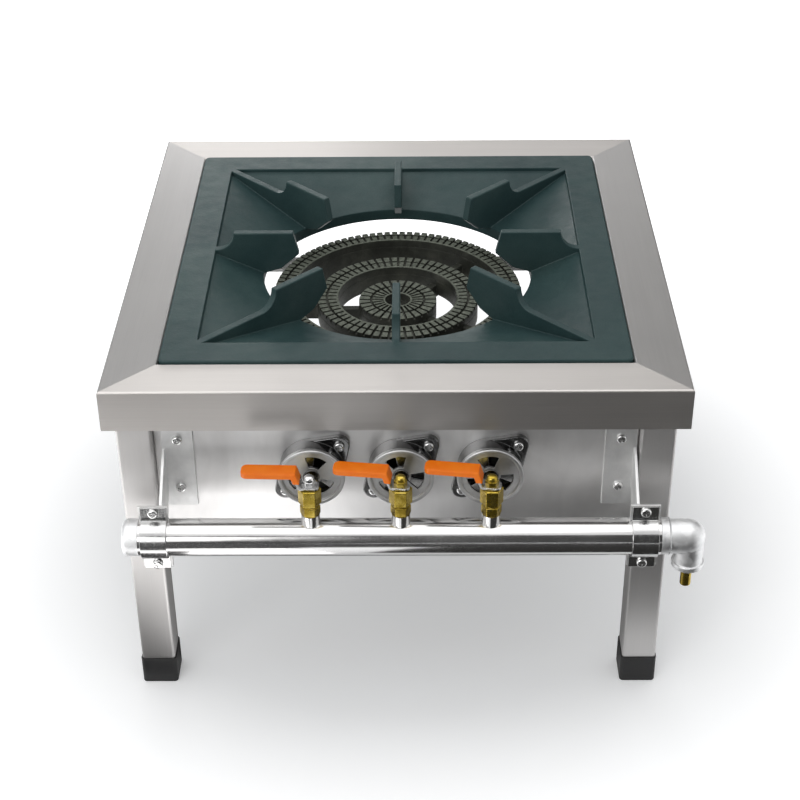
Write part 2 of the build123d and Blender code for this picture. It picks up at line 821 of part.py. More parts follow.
panel_places = []
for x in inlets:
    for way in (-1, 1):
        head = panel_front - housing_flange
        length = housing_flange + sheet + tube_flange
        panel_places.append((x + way * ear_dx, head, inlet_z + way * ear_dz, length))
for way in (-1, 1):
    for rise in bracket_screws:
        head = panel_front - bracket_sheet
        place = pipe_shift + way * bracket_flange_x
        panel_places.append((place, head, pipe_z + rise, screw_grip))
screws("panel_screws", panel_places)

clamp_places = []
for way in (-1, 1):
    for rise in (-clamp_screw_rise, clamp_screw_rise):
        clamp_places.append(
            (pipe_shift + way * clamp_reach, pipe_y - clamp_sheet, pipe_z + rise, screw_grip)
        )
screws("clamp_screws", clamp_places)


# Valves: a body of two hexagons on its socket, a ball on a stem inside, and an injector out of the back
injector_front = pipe_y + outlet_length
waist_bottom = socket_top + valve_foot_height


def hexagon(at, flats, height):
    """A hexagon bar with its ends chamfered."""
    with BuildPart() as piece:
        with BuildSketch(at):
            RegularPolygon(flats / 2, 6, major_radius=False)
        extrude(amount=height)
        chamfer(piece.faces().filter_by(Axis.Z).edges(), valve_chamfer)
    return piece.part


for k, side in enumerate(sides):
    x = inlets[k]
    column = Plane((x, pipe_y, 0))
    outlet = Plane(origin=(x, pipe_y, inlet_z), x_dir=(1, 0, 0), z_dir=(0, 1, 0))
    with BuildPart() as body:
        head_bottom = waist_bottom + valve_waist_height
        add(hexagon(column.offset(socket_top), valve_foot_flats, valve_foot_height))
        add(hexagon(column.offset(head_bottom), valve_flats, valve_top - head_bottom))
        with BuildSketch(column.offset(socket_top + valve_chamfer)):
            Circle(valve_waist_radius)
        extrude(amount=valve_foot_height + valve_waist_height)
        with BuildSketch(column.offset(socket_top - valve_spigot_length)):
            Circle(valve_spigot_radius)
        extrude(amount=valve_spigot_length + valve_chamfer)
        with BuildSketch(outlet):
            Circle(outlet_radius)
        extrude(amount=outlet_length)
        with Locations((x, pipe_y, inlet_z)):
            Sphere(ball_radius + running_gap, mode=Mode.SUBTRACT)
        with BuildSketch(column.offset(socket_top - valve_spigot_length)):
            Circle(gas_bore)
        extrude(amount=inlet_z - socket_top + valve_spigot_length, mode=Mode.SUBTRACT)
        with BuildSketch(column.offset(inlet_z)):
            Circle(stem_radius + snug)
        extrude(amount=valve_head, mode=Mode.SUBTRACT)
        with BuildSketch(outlet):
            Circle(gas_bore)
        extrude(amount=outlet_length, mode=Mode.SUBTRACT)
    save(body, f"{side}_valve_body")

    with BuildPart() as ball:
        with Locations((x, pipe_y, inlet_z)):
            Sphere(ball_radius)
        split(bisect_by=Plane((x, pipe_y, inlet_z + ball_flat)), keep=Keep.BOTTOM)
        with BuildSketch(column.offset(inlet_z - ball_radius)):
            Circle(gas_bore)
        extrude(amount=ball_radius, mode=Mode.SUBTRACT)
        with BuildSketch(Plane(origin=(x, pipe_y, inlet_z), z_dir=(1, 0, 0))):
            Circle(gas_bore)
        extrude(amount=ball_radius, mode=Mode.SUBTRACT)
    save(ball, f"{side}_valve_ball")

    with BuildPart() as stem:
        with BuildSketch(column.offset(inlet_z + ball_flat)):
            Circle(stem_radius)
        extrude(amount=lever_top + nut_height + stem_proud - inlet_z - ball_flat)
    save(stem, f"{side}_valve_stem")

    with BuildPart() as nut:
        with BuildSketch(column.offset(lever_top)):
            RegularPolygon(nut_flats / 2, 6, major_radius=False)
        extrude(amount=nut_height)
        chamfer(nut.faces().sort_by(Axis.Z)[-1].edges(), valve_chamfer / 2)
        with BuildSketch(column.offset(lever_top)):
            Circle(stem_radius + snug)
        extrude(amount=nut_height, mode=Mode.SUBTRACT)
    save(nut, f"{side}_lever_nut")

    with BuildPart() as injector:
        with BuildSketch(outlet.offset(outlet_length)):
            RegularPolygon(injector_flats / 2, 6, major_radius=False)
        extrude(amount=injector_hex)
        with BuildSketch(outlet.offset(outlet_length + injector_hex)):
            Circle(injector_radius)
        extrude(amount=panel_front - injector_front - injector_hex - injector_tip)
        tip = injector.faces().sort_by(Axis.Y)[-1]
        chamfer(tip.edges(), injector_tip, injector_tip / 2)
        with BuildSketch(outlet.offset(outlet_length)):
            Circle(injector_bore)
        extrude(amount=panel_front - injector_front, mode=Mode.SUBTRACT)
    save(injector, f"{side}_injector")

    lean = radians(lever_leans[k])
    lever_side = Plane(
        origin=(x, pipe_y, lever_base),
        x_dir=(-cos(lean), sin(lean), 0),
        z_dir=(sin(lean), cos(lean), 0),
    )
    with BuildPart() as lever:
        with BuildSketch(lever_side):
            with BuildLine():
                FilletPolyline(
                    (-lever_pad, lever_sheet / 2),
                    (lever_pad, lever_sheet / 2),
                    (lever_bend, lever_step),
                    (lever_length, lever_step),
                    radius=lever_fold,
                )
            trace(line_width=lever_sheet)
        extrude(amount=lever_width / 2, both=True)
        upright = lever.edges().filter_by(Axis.Z)
        tip_point = lever_side.from_local_coords((lever_length, lever_step))
        fillet(upright.sort_by_distance(tip_point)[-2:], lever_pad_round)
        with BuildSketch(column.offset(lever_base)):
            Circle(stem_radius + snug)
        extrude(amount=lever_sheet, mode=Mode.SUBTRACT)
    save(lever, f"{side}_valve_lever")

    low = lever_step - grip_height / 2
    high = lever_step + grip_height / 2
    run = (lever_bend - lever_pad) / (lever_step - lever_sheet / 2)
    half_skew = grip_height / 2 * sqrt(1 + run**2)
    skew = [lever_pad + run * (height - lever_sheet / 2) for height in (high, grip_foot, low)]
    with BuildPart() as grip:
        with BuildSketch(lever_side):
            with BuildLine():
                Polyline(
                    (lever_length + grip_wall_end, low),
                    (lever_length + grip_wall_end, high),
                    (skew[0] - half_skew, high),
                    (skew[1] - half_skew, grip_foot),
                    (skew[1] + half_skew, grip_foot),
                    (skew[2] + half_skew, low),
                    close=True,
                )
            make_face()
        extrude(amount=grip_width / 2, both=True)
        upright = grip.edges().filter_by(Axis.Z)
        fillet(upright.sort_by_distance(tip_point)[:2], grip_tip_round)
        fillet(grip.faces().sort_by(Axis.Z)[-1].edges(), grip_round)
        add(lever.part, mode=Mode.SUBTRACT)
    save(grip, f"{side}_lever_grip")
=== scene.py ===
# %% [markdown]
# # A single burner gas stove
# The stove is a square stainless stand with a loose cast-iron pot grate, a ring burner under it and a gas
# pipe across the front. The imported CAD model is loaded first: it holds every piece at its true size, on the
# body that it moves with. Everything after that only adds finish: light, a camera, materials, eased edges and
# the caps of three nuts.

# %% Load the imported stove
import json
from math import cos, pi, radians, sin

import bmesh
import bpy
from mathutils import Matrix, Vector


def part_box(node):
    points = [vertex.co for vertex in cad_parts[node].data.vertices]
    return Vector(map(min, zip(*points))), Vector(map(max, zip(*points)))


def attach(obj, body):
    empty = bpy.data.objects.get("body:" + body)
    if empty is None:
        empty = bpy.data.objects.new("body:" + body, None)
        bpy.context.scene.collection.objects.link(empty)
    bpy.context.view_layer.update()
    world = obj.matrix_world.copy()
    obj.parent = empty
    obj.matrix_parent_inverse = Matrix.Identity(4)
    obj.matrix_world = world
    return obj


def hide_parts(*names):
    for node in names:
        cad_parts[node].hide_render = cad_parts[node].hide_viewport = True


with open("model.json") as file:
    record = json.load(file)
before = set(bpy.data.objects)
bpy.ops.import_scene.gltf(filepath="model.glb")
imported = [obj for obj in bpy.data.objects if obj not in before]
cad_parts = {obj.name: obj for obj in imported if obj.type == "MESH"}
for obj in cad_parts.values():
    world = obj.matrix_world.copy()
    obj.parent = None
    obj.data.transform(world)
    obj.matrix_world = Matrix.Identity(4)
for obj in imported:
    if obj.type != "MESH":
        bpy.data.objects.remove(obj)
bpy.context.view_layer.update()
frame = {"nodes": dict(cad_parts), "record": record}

body_of_node = {n: b for b, group in frame["record"]["behaviour"]["bodies"].items() for n in group}

# %% [markdown]
# ## Camera
# The photograph looks down on the stove at about a third of a right angle, from a little over two paces away.
# The place, the turn and the lens were fitted to the corners of the frame, so the render can be laid over the
# photograph. The fit gives the focal length in pixels, and the sensor's width turns it into millimetres. A
# camera looks along its own -Z, so its matrix has the view's right, up and backward directions as columns.

# %% Camera
photo_width_px = 800.0
focal_length_px = 1685.5
sensor_width_mm = 36.0
camera_place = (0.0166, -1.3998, 1.0732)
yaw, pitch, roll = radians(-0.63), radians(33.29), radians(-0.56)
forward = Vector((sin(yaw) * cos(pitch), cos(yaw) * cos(pitch), -sin(pitch)))
level = Vector((cos(yaw), -sin(yaw), 0.0))
upright = level.cross(forward)
right = cos(roll) * level + sin(roll) * upright
up = cos(roll) * upright - sin(roll) * level
camera_data = bpy.data.cameras.new("photo_camera")
camera_data.sensor_width = sensor_width_mm
camera_data.lens = sensor_width_mm * focal_length_px / photo_width_px
camera_data.clip_end = 50.0
camera = bpy.data.objects.new("photo_camera", camera_data)
bpy.context.scene.collection.objects.link(camera)
turn = Matrix((right, up, -forward)).transposed().to_4x4()
camera.matrix_world = Matrix.Translation(camera_place) @ turn
bpy.context.scene.camera = camera
print("camera lens", round(camera_data.lens, 2), "mm")

# %% [markdown]
# ## Studio
# Steel shows what stands round it more than what lights it. The set is a white room: a pale floor, a large
# soft lamp overhead, a small one behind the stove and a weak one in front. The world is plain white where it
# is seen, and dimmer where it only lights, so it doesn't wash out the shadows. Cards stand and lie round the
# stove, as a photographer would put them. Only reflections see them, and they give each steel face something
# grey, black or white to mirror.

# %% World
world = bpy.data.worlds.new("white_room")
bpy.context.scene.world = world
bpy.context.scene.view_settings.view_transform = "Standard"
world.use_nodes = True
sky = world.node_tree
sky.nodes.clear()


def seen_rays(tree):
    path = tree.nodes.new("ShaderNodeLightPath")
    total = path.outputs["Is Camera Ray"]
    for kind in ("Is Glossy Ray", "Is Transmission Ray"):
        added = tree.nodes.new("ShaderNodeMath")
        added.operation = "ADD"
        added.use_clamp = True
        tree.links.new(total, added.inputs[0])
        tree.links.new(path.outputs[kind], added.inputs[1])
        total = added.outputs[0]
    return total


soft_light = sky.nodes.new("ShaderNodeBackground")
soft_light.inputs["Color"].default_value = (0.94, 0.97, 1.0, 1)
soft_light.inputs["Strength"].default_value = 0.36
white = sky.nodes.new("ShaderNodeBackground")
white.inputs["Strength"].default_value = 1.0
white.inputs["Color"].default_value = (1, 1, 1, 1)
either = sky.nodes.new("ShaderNodeMixShader")
out = sky.nodes.new("ShaderNodeOutputWorld")
sky.links.new(seen_rays(sky), either.inputs[0])
sky.links.new(soft_light.outputs[0], either.inputs[1])
sky.links.new(white.outputs[0], either.inputs[2])
sky.links.new(either.outputs[0], out.inputs["Surface"])
print("world ready")


# %% Lamps
def soft_lamp(name, place, aim, size, power):
    data = bpy.data.lights.new(name, "AREA")
    data.shape = "RECTANGLE"
    data.size, data.size_y = size
    data.energy = power
    lamp = bpy.data.objects.new(name, data)
    bpy.context.scene.collection.objects.link(lamp)
    lamp.location = place
    lamp.rotation_euler = (Vector(aim) - Vector(place)).to_track_quat("-Z", "Y").to_euler()


soft_lamp("overhead_softbox", (-0.25, 0.15, 2.6), (0, 0, 0.3), (3.8, 3.2), 38)
soft_lamp("back_left_strip", (-0.5, 2.3, 0.7), (-0.2, 0.2, 0.32), (0.8, 0.5), 5.5)
soft_lamp("front_fill", (-1.2, -2.4, 1.3), (0, -0.2, 0.2), (1.8, 1.2), 17)


# %% Floor and grey cards
def flat_card(name, corners, colour, shine=0.0):
    bm = bmesh.new()
    bm.faces.new([bm.verts.new(c) for c in corners])
    mesh = bpy.data.meshes.new(name)
    bm.to_mesh(mesh)
    bm.free()
    card = bpy.data.objects.new(name, mesh)
    bpy.context.scene.collection.objects.link(card)
    paint = bpy.data.materials.new(name + "_paint")
    paint.use_nodes = True
    shader = paint.node_tree.nodes["Principled BSDF"]
    shader.inputs["Base Color"].default_value = (*colour, 1)
    shader.inputs["Roughness"].default_value = 0.9
    shader.inputs["Emission Color"].default_value = (*colour, 1)
    shader.inputs["Emission Strength"].default_value = shine
    mesh.materials.append(paint)
    return card


# The floor glows a little where it is seen, directly and in reflections, and more with the distance, so that it
# blends into the white world. The weak glow near the stove is painted shade: it keeps the floor under and
# between the legs darker.
floor = flat_card("floor", [(-8, -8, 0), (8, -8, 0), (8, 8, 0), (-8, 8, 0)], (0.9, 0.9, 0.9))
floor_tree = floor.data.materials[0].node_tree
glow = floor_tree.nodes.new("ShaderNodeMath")
glow.operation = "MULTIPLY"
floor_place = floor_tree.nodes.new("ShaderNodeTexCoord")
reach = floor_tree.nodes.new("ShaderNodeVectorMath")
reach.operation = "LENGTH"
# Painted shade: the glow is weakest near the stove, which darkens the floor round and under it.
backdrop_fade_and_painted_shade = floor_tree.nodes.new("ShaderNodeMapRange")
backdrop_fade_and_painted_shade.inputs["From Min"].default_value = 0.28
backdrop_fade_and_painted_shade.inputs["From Max"].default_value = 0.85
backdrop_fade_and_painted_shade.inputs["To Min"].default_value = 0.2
backdrop_fade_and_painted_shade.inputs["To Max"].default_value = 1.0
floor_tree.links.new(floor_place.outputs["Object"], reach.inputs[0])
floor_tree.links.new(reach.outputs["Value"], backdrop_fade_and_painted_shade.inputs["Value"])
floor_tree.links.new(backdrop_fade_and_painted_shade.outputs["Result"], glow.inputs[1])
floor_shader = floor_tree.nodes["Principled BSDF"]
floor_shader.inputs["Emission Color"].default_value = (1, 1, 1, 1)
floor_shader.inputs["Specular IOR Level"].default_value = 0.0
floor_tree.links.new(seen_rays(floor_tree), glow.inputs[0])
floor_tree.links.new(glow.outputs[0], floor_shader.inputs["Emission Strength"])

# The first cards lie on the floor in front, for the skirt, the panel, the pipe and the left leg. The next ones
# stand behind, for the rails' top faces, and in front, for the pipe. The last one is painted shade: a dark
# sheet under the burner, where the floor lies in the stove's shade, so that reflections see it dark.
cards = [
    flat_card("front_left_card", [(-1.6, -2.9, 0.004), (-0.1, -2.9, 0.004), (-0.1, -0.54, 0.004),
                                  (-1.6, -0.54, 0.004)], (0.07, 0.07, 0.07)),
    flat_card("front_dark_card", [(-0.1, -2.2, 0.004), (1.6, -2.2, 0.004), (1.6, -0.62, 0.004),
                                  (-0.1, -0.62, 0.004)], (0.035, 0.034, 0.033)),
    flat_card("front_right_card", [(0.03, -0.62, 0.004), (0.7, -0.62, 0.004), (0.4, -0.32, 0.004),
                                   (-0.03, -0.32, 0.004)], (0.03, 0.029, 0.027)),
    flat_card("front_white_card", [(-1.2, -0.53, 0.005), (-0.11, -0.53, 0.005), (-0.06, -0.3, 0.005),
                                   (-1.2, -0.3, 0.005)], (1.0, 0.99, 0.985), 2.2),
    flat_card("left_leg_card", [(-0.34, -0.42, 0.006), (-0.2, -0.42, 0.006), (-0.2, -0.246, 0.006),
                                (-0.34, -0.246, 0.006)], (0.06, 0.059, 0.057)),
    flat_card("left_card", [(-0.7, 2.3, 0.2), (-2.3, 0.7, 0.2), (-2.3, 0.7, 3.2), (-0.7, 2.3, 3.2)],
              (0.54, 0.535, 0.53)),
    flat_card("right_card", [(0.6, 2.3, 0.2), (2.3, 0.6, 0.2), (2.3, 0.6, 3.2), (0.6, 2.3, 3.2)],
              (0.25, 0.245, 0.235)),
    flat_card("back_card", [(-2.6, 2.7, 1.75), (2.6, 2.7, 1.75), (2.6, 2.7, 3.8), (-2.6, 2.7, 3.8)],
              (0.55, 0.54, 0.52)),
    flat_card("front_wall_card", [(-0.9, -3.0, 0.0), (3.0, -3.0, 0.0), (3.0, -3.0, 2.8), (-0.9, -3.0, 2.8)],
              (0.08, 0.079, 0.077)),
    # Painted shade: a dark sheet under the stove, seen only in reflections.
    flat_card("under_stove_painted_shade_card", [(-0.203, -0.21, 0.004), (0.203, -0.21, 0.004), (0.203, 0.24, 0.004),
                             (-0.203, 0.24, 0.004)], (0.05, 0.05, 0.05)),
]
for card in cards:
    card.visible_camera = False
    card.visible_diffuse = False
    card.visible_shadow = False
print("floor and", len(cards), "cards")

# %% [markdown]
# ## Tools for the finishes
# Every finish below is a Principled shader fed by a few noise patterns. The patterns read Object coordinates,
# so they have a real size: a scale of 1000 makes features of about a millimetre. Each helper adds one node and
# returns the socket that the next one reads, which keeps a finish readable as a short recipe.


# %% Helpers for node recipes
def start_finish(name, metallic, roughness):
    material = bpy.data.materials.new(name)
    material.use_nodes = True
    tree = material.node_tree
    shader = tree.nodes["Principled BSDF"]
    shader.inputs["Metallic"].default_value = metallic
    shader.inputs["Roughness"].default_value = roughness
    return material, tree, shader


def place(tree, scale=(1, 1, 1), rotation=(0, 0, 0), offset=(0, 0, 0)):
    coords = tree.nodes.new("ShaderNodeTexCoord")
    mapping = tree.nodes.new("ShaderNodeMapping")
    mapping.inputs["Location"].default_value = offset
    mapping.inputs["Rotation"].default_value = rotation
    mapping.inputs["Scale"].default_value = scale
    tree.links.new(coords.outputs["Object"], mapping.inputs["Vector"])
    return mapping.outputs["Vector"]


def noise(tree, vector, scale, detail=4.0, roughness=0.55, distortion=0.0):
    texture = tree.nodes.new("ShaderNodeTexNoise")
    texture.inputs["Scale"].default_value = scale
    texture.inputs["Detail"].default_value = detail
    texture.inputs["Roughness"].default_value = roughness
    texture.inputs["Distortion"].default_value = distortion
    tree.links.new(vector, texture.inputs["Vector"])
    return texture.outputs["Fac"]


def ramp(tree, value, *stops):
    node = tree.nodes.new("ShaderNodeValToRGB")
    node.color_ramp.elements[0].position = stops[0][0]
    node.color_ramp.elements[0].color = (*stops[0][1], 1)
    node.color_ramp.elements[1].position = stops[-1][0]
    node.color_ramp.elements[1].color = (*stops[-1][1], 1)
    for position, colour in stops[1:-1]:
        node.color_ramp.elements.new(position).color = (*colour, 1)
    tree.links.new(value, node.inputs["Fac"])
    return node.outputs["Color"]


def spread(tree, value, low, high, from_low=0.3, from_high=0.7):
    node = tree.nodes.new("ShaderNodeMapRange")
    node.inputs["From Min"].default_value = from_low
    node.inputs["From Max"].default_value = from_high
    node.inputs["To Min"].default_value = low
    node.inputs["To Max"].default_value = high
    tree.links.new(value, node.inputs["Value"])
    return node.outputs["Result"]


def mix(tree, amount, first, second, how="MIX"):
    node = tree.nodes.new("ShaderNodeMix")
    node.data_type = "RGBA"
    node.blend_type = how
    if isinstance(amount, float):
        node.inputs["Factor"].default_value = amount
    else:
        tree.links.new(amount, node.inputs["Factor"])
    tree.links.new(first, node.inputs["A"])
    tree.links.new(second, node.inputs["B"])
    return node.outputs["Result"]


def bump(tree, height, strength, distance, under=None):
    node = tree.nodes.new("ShaderNodeBump")
    node.inputs["Strength"].default_value = strength
    node.inputs["Distance"].default_value = distance
    tree.links.new(height, node.inputs["Height"])
    if under is not None:
        tree.links.new(under, node.inputs["Normal"])
    return node.outputs["Normal"]


def feed(tree, shader, **sockets):
    for name, socket in sockets.items():
        tree.links.new(socket, shader.inputs[name.replace("_", " ").title()])


print("helpers ready")

# %% [markdown]
# ## Brushed stainless
# The rails and the legs are polished along their length with an abrasive belt. Fine scratches run one way, so
# the steel smears reflections across them. Two things make that here: a noise that is stretched along the
# belt's way, for the visible lines, and the shader's anisotropy, whose tangent is set across the scratches.


# %% Brushed stainless, one for each direction of the belt
def brushed_stainless(name, along, light, warm, smooth=0.36):
    material, tree, shader = start_finish(name, 1.0, 0.3)
    fine = [1500.0, 1500.0, 1500.0]
    fine[along] = 14.0
    broad = [70.0, 70.0, 70.0]
    broad[along] = 2.5
    lines = noise(tree, place(tree, fine), 1.0, 5.0, 0.65)
    bands = noise(tree, place(tree, broad), 1.0, 3.0)
    cloud = noise(tree, place(tree), 7.0, 3.0)
    pale = tuple(light * part for part in warm)
    dark = tuple(0.93 * part for part in pale)
    scratch_colour = ramp(tree, lines, (0.32, dark), (0.68, pale))
    band_tone = ramp(tree, bands, (0.3, (0.965, 0.965, 0.965)), (0.7, (1, 1, 1)))
    cloud_tone = ramp(tree, cloud, (0.3, (0.95, 0.95, 0.955)), (0.7, (1, 1, 1)))
    colour = mix(tree, 1.0, mix(tree, 1.0, scratch_colour, band_tone, "MULTIPLY"), cloud_tone, "MULTIPLY")
    feed(tree, shader, base_color=colour, roughness=spread(tree, lines, smooth, smooth + 0.09),
         normal=bump(tree, lines, 0.03, 0.0002))
    across = tree.nodes.new("ShaderNodeCombineXYZ")
    for axis in range(3):
        across.inputs[axis].default_value = 0.0 if axis == along else 1.0
    tree.links.new(across.outputs[0], shader.inputs["Tangent"])
    shader.inputs["Anisotropic"].default_value = 0.65
    return material


warm_steel = (1.0, 0.98, 0.965)
warmer_steel = (1.0, 0.957, 0.92)
steel_x = brushed_stainless("stainless_brushed_along_x", 0, 0.60, warmer_steel)
steel_y = brushed_stainless("stainless_brushed_along_y", 1, 0.60, warm_steel)
steel_z = brushed_stainless("stainless_brushed_along_z", 2, 0.62, warm_steel, 0.46)
print("stainless", steel_x.name, steel_y.name, steel_z.name)

# %% [markdown]
# ## Panel, pipe and plain steel
# The front panel is a bright rolled sheet. It isn't flat: thin sheet waves a little, and that bends what it
# mirrors. The pipe is polished almost to a mirror, with turning lines round it. The brackets and straps are
# duller mill steel.


# %% Bright sheet of the front panel
def bright_sheet(name):
    material, tree, shader = start_finish(name, 1.0, 0.36)
    smears = noise(tree, place(tree, (18, 18, 7)), 1.0, 4.0, 0.6, 0.6)
    cloud = noise(tree, place(tree, (1, 1, 0.7)), 11.0, 4.0, 0.55, 0.8)
    wave = noise(tree, place(tree, (1, 1, 0.8)), 9.0, 1.0)
    colour = ramp(tree, cloud, (0.3, (0.76, 0.75, 0.74)), (0.5, (0.87, 0.862, 0.854)),
                  (0.7, (0.95, 0.944, 0.938)))
    tone = ramp(tree, smears, (0.35, (0.88, 0.88, 0.885)), (0.65, (1, 1, 1)))
    feed(tree, shader, base_color=mix(tree, 1.0, colour, tone, "MULTIPLY"),
         roughness=spread(tree, cloud, 0.42, 0.52), normal=bump(tree, wave, 0.05, 0.002))
    return material


panel_steel = bright_sheet("panel_bright_sheet")


# %% Polished pipe
def polished_tube(name):
    material, tree, shader = start_finish(name, 1.0, 0.1)
    lines = noise(tree, place(tree, (500, 8, 8)), 1.0, 4.0, 0.6)
    marks = noise(tree, place(tree, (14, 50, 50)), 1.0, 5.0, 0.65)
    colour = ramp(tree, marks, (0.3, (0.62, 0.615, 0.61)), (0.65, (0.72, 0.715, 0.71)))
    feed(tree, shader, base_color=colour, roughness=spread(tree, marks, 0.12, 0.2),
         normal=bump(tree, lines, 0.03, 0.0002))
    return material


pipe_steel = polished_tube("pipe_polished")


# %% Mill steel of brackets, clamps and straps
def mill_steel(name, light, roughness):
    material, tree, shader = start_finish(name, 1.0, roughness)
    grain = noise(tree, place(tree, (300, 300, 60)), 1.0, 4.0, 0.6)
    cloud = noise(tree, place(tree), 45.0, 4.0, 0.6)
    colour = ramp(tree, cloud, (0.3, (light * 0.82,) * 3), (0.7, (light, light, light * 0.99)))
    feed(tree, shader, base_color=colour, roughness=spread(tree, grain, roughness - 0.07, roughness + 0.09),
         normal=bump(tree, grain, 0.03, 0.0003))
    return material


bracket_steel = mill_steel("bracket_mill_steel", 0.86, 0.5)
clamp_steel = mill_steel("clamp_bright_steel", 0.6, 0.17)
strap_steel = mill_steel("strap_mill_steel", 0.42, 0.45)
bright_steel = mill_steel("screw_bright_steel", 0.8, 0.2)
lever_steel = mill_steel("lever_plated_steel", 0.7, 0.28)
print("sheet and tube", panel_steel.name, pipe_steel.name, bracket_steel.name)

# %% [markdown]
# ## Castings
# The grate is sand-cast iron under a dull blue-grey paint: broad unevenness from the mould, a fine sandy grain
# and a soft sheen. The burner is bare iron, browner and rougher, with its tooth tops machined and rubbed
# bright. The air housings are die-cast aluminium that was tumbled, so they are smooth with a few cloudy marks;
# their colour is darkened far below aluminium's as painted shade, for the shadow under the panel's skirt.


# %% Painted grate iron
def painted_iron(name):
    material, tree, shader = start_finish(name, 0.0, 0.55)
    sand = noise(tree, place(tree), 900.0, 3.0, 0.6)
    mould = noise(tree, place(tree), 70.0, 4.0, 0.55)
    cloud = noise(tree, place(tree), 9.0, 4.0, 0.6, 0.5)
    colour = ramp(tree, cloud, (0.3, (0.019, 0.045, 0.047)), (0.5, (0.029, 0.062, 0.062)),
                  (0.72, (0.047, 0.085, 0.082)))
    grit = ramp(tree, sand, (0.3, (0.82, 0.82, 0.82)), (0.6, (1, 1, 1)))
    grain = bump(tree, mould, 0.35, 0.0012)
    feed(tree, shader, base_color=mix(tree, 1.0, colour, grit, "MULTIPLY"),
         roughness=spread(tree, mould, 0.36, 0.52), normal=bump(tree, sand, 0.2, 0.0004, grain))
    shader.inputs["Specular IOR Level"].default_value = 0.3
    return material


grate_iron = painted_iron("grate_painted_iron")


# %% Bare burner iron, with the tops of the teeth rubbed bright
def burner_iron(name, top_mm):
    material, tree, shader = start_finish(name, 0.35, 0.55)
    sand = noise(tree, place(tree), 700.0, 4.0, 0.6)
    soot = noise(tree, place(tree), 38.0, 5.0, 0.62, 0.4)
    wear = noise(tree, place(tree), 260.0, 4.0, 0.65)
    raw = ramp(tree, soot, (0.3, (0.018, 0.019, 0.014)), (0.5, (0.038, 0.040, 0.031)),
               (0.72, (0.075, 0.077, 0.060)))
    rubbed = ramp(tree, wear, (0.3, (0.055, 0.063, 0.048)), (0.7, (0.19, 0.206, 0.165)))
    height = tree.nodes.new("ShaderNodeSeparateXYZ")
    tree.links.new(place(tree), height.inputs[0])
    on_top = spread(tree, height.outputs["Z"], 0.0, 1.0, (top_mm - 0.9) / 1000, (top_mm - 0.2) / 1000)
    feed(tree, shader, base_color=mix(tree, on_top, raw, rubbed), roughness=spread(tree, sand, 0.45, 0.68),
         normal=bump(tree, sand, 0.3, 0.0005))
    return material


ring_tops = {n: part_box(n)[1][2] * 1000 for n in ("outer_port_ring", "middle_port_ring", "centre_port_ring")}
ring_irons = {n: burner_iron(n + "_iron", top) for n, top in ring_tops.items()}
above_everything_mm = 400.0
channel_iron = burner_iron("burner_channel_iron", above_everything_mm)


# %% Cast aluminium of the air housings and the shutters
def cast_aluminium(name, light, polish):
    material, tree, shader = start_finish(name, 1.0, polish)
    skin = noise(tree, place(tree), 420.0, 3.0, 0.55)
    cloud = noise(tree, place(tree), 60.0, 4.0, 0.6, 0.6)
    colour = ramp(tree, cloud, (0.3, (light * 0.78,) * 3), (0.7, (light,) * 3))
    feed(tree, shader, base_color=colour, roughness=spread(tree, cloud, polish - 0.07, polish + 0.08),
         normal=bump(tree, skin, 0.08, 0.0004))
    return material


# Painted shade: the housings' aluminium is darkened to 0.24, for the shadow they sit in under the skirt.
housing_alloy_painted_shade = cast_aluminium("housing_cast_alloy_painted_shade", 0.24, 0.2)
shutter_aluminium = cast_aluminium("shutter_pressed_aluminium", 0.66, 0.42)
print("castings", grate_iron.name, list(ring_irons), housing_alloy_painted_shade.name)

# %% [markdown]
# ## Brass, zinc, vinyl and rubber
# The valves and the nipple are bar brass with fine turning lines and a little tarnish. The elbow and the end
# plug are hot-dip galvanised, and zinc freezes in flat crystals, which a Voronoi pattern gives. The lever grips
# are dipped vinyl, bright and slightly soft. The feet are dull black rubber.


# %% Machined brass
def bar_brass(name, tone=1.0):
    material, tree, shader = start_finish(name, 1.0, 0.26)
    lines = noise(tree, place(tree, (60, 60, 1500)), 1.0, 3.0, 0.6)
    tarnish = noise(tree, place(tree), 120.0, 4.0, 0.6)
    stops = [(0.28, (0.30, 0.20, 0.022)), (0.5, (0.50, 0.36, 0.055)), (0.72, (0.68, 0.52, 0.13))]
    colour = ramp(tree, tarnish, *[(at, tuple(tone * part for part in rgb)) for at, rgb in stops])
    feed(tree, shader, base_color=colour, roughness=spread(tree, tarnish, 0.34, 0.2),
         normal=bump(tree, lines, 0.08, 0.0002))
    return material


brass = bar_brass("valve_bar_brass", 0.88)
# The injectors take the same brass at a tenth of its colour: painted shade, for where they sit deep inside the
# air housings.
painted_shade_brass = bar_brass("injector_sooty_brass", 0.1)


# %% Galvanised elbow and plug
def hot_dip_zinc(name):
    material, tree, shader = start_finish(name, 1.0, 0.35)
    cells = tree.nodes.new("ShaderNodeTexVoronoi")
    cells.inputs["Scale"].default_value = 210.0
    tree.links.new(place(tree), cells.inputs["Vector"])
    lump = noise(tree, place(tree), 150.0, 3.0, 0.5)
    tone = tree.nodes.new("ShaderNodeSeparateColor")
    tree.links.new(cells.outputs["Color"], tone.inputs[0])
    colour = ramp(tree, tone.outputs[0], (0.1, (0.74, 0.745, 0.75)), (0.9, (0.88, 0.883, 0.885)))
    feed(tree, shader, base_color=colour, roughness=spread(tree, tone.outputs[0], 0.46, 0.58, 0.0, 1.0),
         normal=bump(tree, lump, 0.08, 0.0006))
    return material


zinc = hot_dip_zinc("galvanised_zinc")


